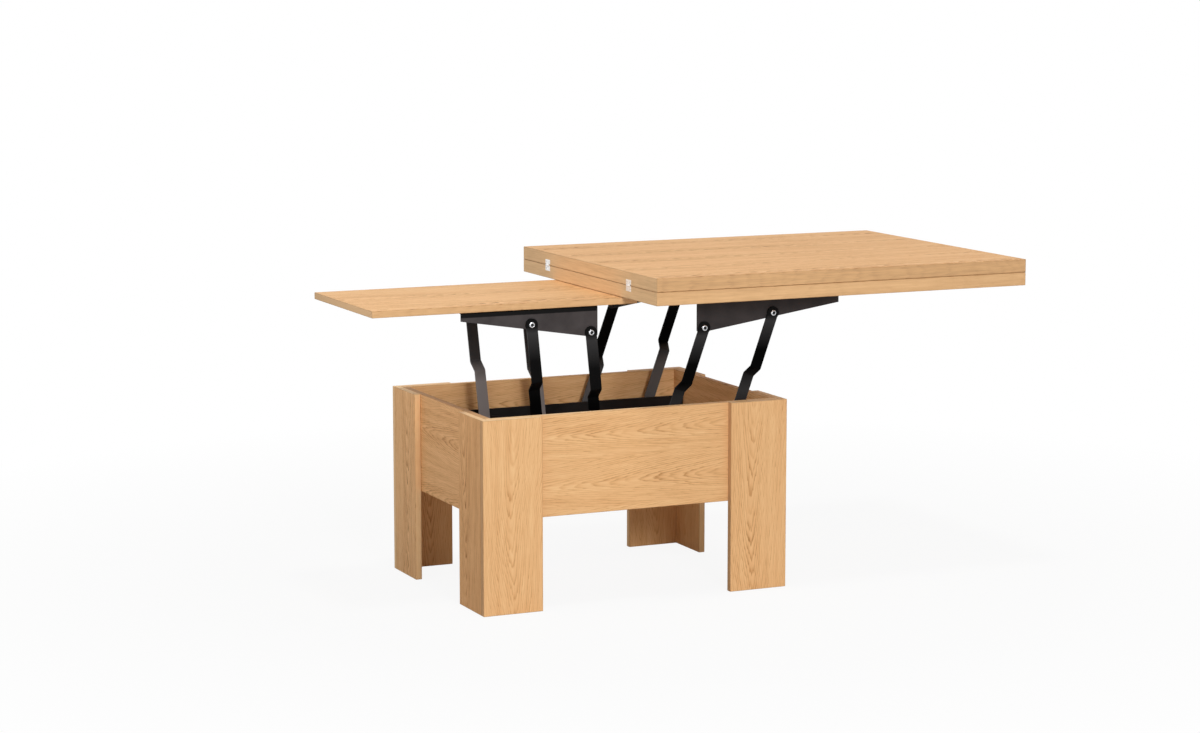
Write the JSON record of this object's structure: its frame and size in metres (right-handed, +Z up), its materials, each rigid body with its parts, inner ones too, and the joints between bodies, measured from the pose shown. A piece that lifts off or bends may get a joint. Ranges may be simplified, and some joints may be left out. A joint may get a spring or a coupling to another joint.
{
  "type": "extending dining table",
  "caption": "Low oak table whose folded top and thin support panel swing up and apart on black steel arms, the top then opening out to a long dining table.",
  "frame": {"origin": "on the floor, under the middle of the raised table's overall length and depth", "axes": "+Z up, +X along the length towards the folded top, +Y towards the back"},
  "size_m": [1.6274, 0.784, 0.78],
  "materials": {
    "oak": "light oak laminate, satin",
    "black_steel": "satin black powder coat",
    "zinc": "bright zinc plate",
    "nickel": "bright nickel plate"
  },
  "bodies": {
    "base": {"apron_back": "oak", "apron_front": "oak", "apron_left": "oak", "apron_right": "oak", "bottom_panel": "oak", "leg_back_left_face": "oak", "leg_back_left_side": "oak", "leg_back_right_face": "oak", "leg_back_right_side": "oak", "leg_front_left_face": "oak", "leg_front_left_side": "oak", "leg_front_right_face": "oak", "leg_front_right_side": "oak", "lower_bracket_back_left": "black_steel", "lower_bracket_back_right": "black_steel", "lower_bracket_bolts": "zinc", "lower_bracket_front_left": "black_steel", "lower_bracket_front_right": "black_steel", "lower_pivots_left": "zinc", "lower_pivots_right": "zinc", "rail_back": "black_steel", "rail_front": "black_steel", "rail_screws": "zinc", "stop_pins": "zinc"},
    "arm_back_left_inner": {"arm_back_left_inner": "black_steel"},
    "arm_back_left_outer": {"arm_back_left_outer": "black_steel"},
    "arm_back_right_inner": {"arm_back_right_inner": "black_steel"},
    "arm_back_right_outer": {"arm_back_right_outer": "black_steel"},
    "arm_front_left_inner": {"arm_front_left_inner": "black_steel"},
    "arm_front_left_outer": {"arm_front_left_outer": "black_steel"},
    "arm_front_right_inner": {"arm_front_right_inner": "black_steel"},
    "arm_front_right_outer": {"arm_front_right_outer": "black_steel"},
    "panel_carrier": {"support_panel": "oak", "upper_bracket_back_left": "black_steel", "upper_bracket_front_left": "black_steel", "upper_bracket_screws_left": "zinc", "upper_pivot_nuts_left": "black_steel", "upper_pivots_left": "zinc"},
    "top_carrier": {"hinge_lower_plate_back": "nickel", "hinge_lower_plate_front": "nickel", "hinge_lower_screws": "nickel", "hinge_pin_back": "nickel", "hinge_pin_front": "nickel", "lower_leaf": "oak", "upper_bracket_back_right": "black_steel", "upper_bracket_front_right": "black_steel", "upper_bracket_screws_right": "zinc", "upper_pivot_nuts_right": "black_steel", "upper_pivots_right": "zinc"},
    "leaf": {"hinge_upper_plate_back": "nickel", "hinge_upper_plate_front": "nickel", "hinge_upper_screws": "nickel", "upper_leaf": "oak"}
  },
  "joints": [
    {"name": "lift", "type": "hinge", "parent": "base", "child": "arm_front_right_outer", "pos_m": [0.05917, 0, 0.30189], "axis": [0, -1, 0], "range_deg": [0, 93.33]},
    {"name": "back_left_inner_arm_pivot", "type": "hinge", "parent": "base", "child": "arm_back_left_inner", "pos_m": [-0.23384, 0, 0.34944], "axis": [0, 1, 0], "range_deg": [0, 89.68]},
    {"name": "back_left_outer_arm_pivot", "type": "hinge", "parent": "base", "child": "arm_back_left_outer", "pos_m": [-0.38624, 0, 0.37574], "axis": [0, 1, 0], "range_deg": [0, 89.68]},
    {"name": "back_right_inner_arm_pivot", "type": "hinge", "parent": "base", "child": "arm_back_right_inner", "pos_m": [-0.12483, 0, 0.27539], "axis": [0, -1, 0], "range_deg": [0, 93.34]},
    {"name": "back_right_outer_arm_pivot", "type": "hinge", "parent": "base", "child": "arm_back_right_outer", "pos_m": [0.05917, 0, 0.30189], "axis": [0, -1, 0], "range_deg": [0, 93.34]},
    {"name": "front_left_inner_arm_pivot", "type": "hinge", "parent": "base", "child": "arm_front_left_inner", "pos_m": [-0.23384, 0, 0.34944], "axis": [0, 1, 0], "range_deg": [0, 89.68]},
    {"name": "front_left_outer_arm_pivot", "type": "hinge", "parent": "base", "child": "arm_front_left_outer", "pos_m": [-0.38624, 0, 0.37574], "axis": [0, 1, 0], "range_deg": [0, 89.68]},
    {"name": "front_right_inner_arm_pivot", "type": "hinge", "parent": "base", "child": "arm_front_right_inner", "pos_m": [-0.12483, 0, 0.27539], "axis": [0, -1, 0], "range_deg": [0, 93.34]},
    {"name": "top_level", "type": "hinge", "parent": "arm_front_right_outer", "child": "top_carrier", "pos_m": [0.18865, 0, 0.6655], "axis": [0, -1, 0], "range_deg": [-93.34, 0]},
    {"name": "panel_level", "type": "hinge", "parent": "arm_front_left_outer", "child": "panel_carrier", "pos_m": [-0.41475, 0, 0.6614], "axis": [0, 1, 0], "range_deg": [-89.68, 0]},
    {"name": "leaf_fold", "type": "hinge", "parent": "top_carrier", "child": "leaf", "pos_m": [-0.18665, 0, 0.748], "axis": [0, -1, 0], "range_deg": [0, 180]}
  ],
  "couplings": [
    {"joint": "back_left_inner_arm_pivot", "follows": "lift", "ratio": 0.96072},
    {"joint": "back_left_outer_arm_pivot", "follows": "lift", "ratio": 0.96072},
    {"joint": "back_right_inner_arm_pivot", "follows": "lift", "ratio": 1},
    {"joint": "back_right_outer_arm_pivot", "follows": "lift", "ratio": 1},
    {"joint": "front_left_inner_arm_pivot", "follows": "lift", "ratio": 0.96072},
    {"joint": "front_left_outer_arm_pivot", "follows": "lift", "ratio": 0.96072},
    {"joint": "front_right_inner_arm_pivot", "follows": "lift", "ratio": 1},
    {"joint": "top_level", "follows": "lift", "ratio": -1},
    {"joint": "panel_level", "follows": "lift", "ratio": -0.96072}
  ]
}
